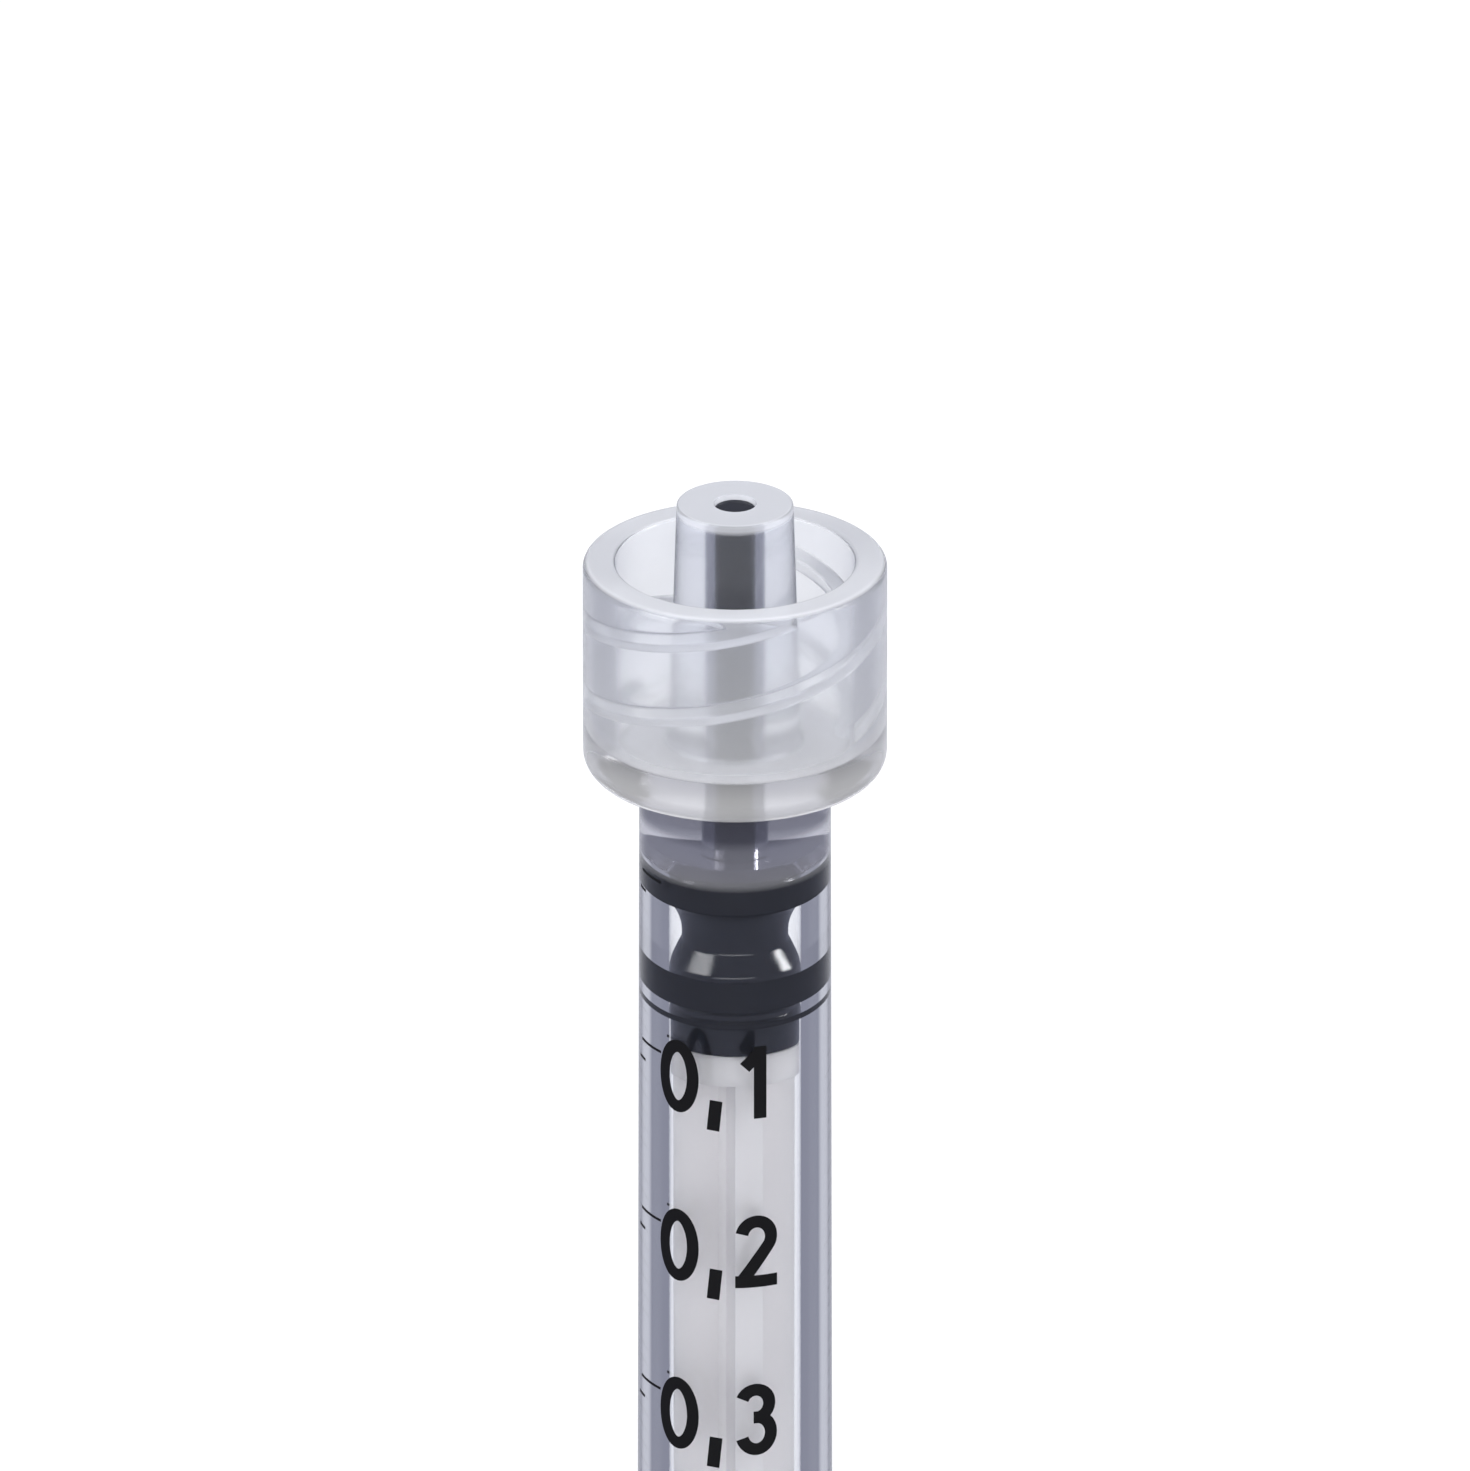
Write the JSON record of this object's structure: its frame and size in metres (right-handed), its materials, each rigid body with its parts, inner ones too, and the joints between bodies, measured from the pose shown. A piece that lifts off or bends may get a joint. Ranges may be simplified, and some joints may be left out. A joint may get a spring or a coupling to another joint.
{
  "type": "luer lock syringe",
  "caption": "Slim clear syringe with a luer lock collar at the nozzle, a ribbed rubber stopper with a pin that fills the nozzle, and a sliding plunger rod.",
  "frame": {"origin": "centre of the lower face of the plunger's thumb rest, on which the syringe stands with its plunger pressed home", "axes": "+Z along the bore towards the nozzle, +X along the finger flange, -Y towards the numerals of the scale"},
  "size_m": [0.018, 0.0126, 0.0939],
  "materials": {
    "clear_polypropylene": "clear, polished on the tube and slightly milky on the collar and nozzle",
    "dark_rubber": "smooth moulded, lightly siliconed",
    "natural_plastic": "translucent white, satin",
    "scale_ink": "thin printed line, satin black"
  },
  "bodies": {
    "barrel": {"barrel": "clear_polypropylene"},
    "plunger": {"plunger_rod": "natural_plastic", "rubber_stopper": "dark_rubber"}
  },
  "joints": [
    {"name": "plunger_slide", "type": "slide", "parent": "barrel", "child": "plunger", "axis": [0, 0, -1], "range_m": [0, 0.0636]}
  ]
}
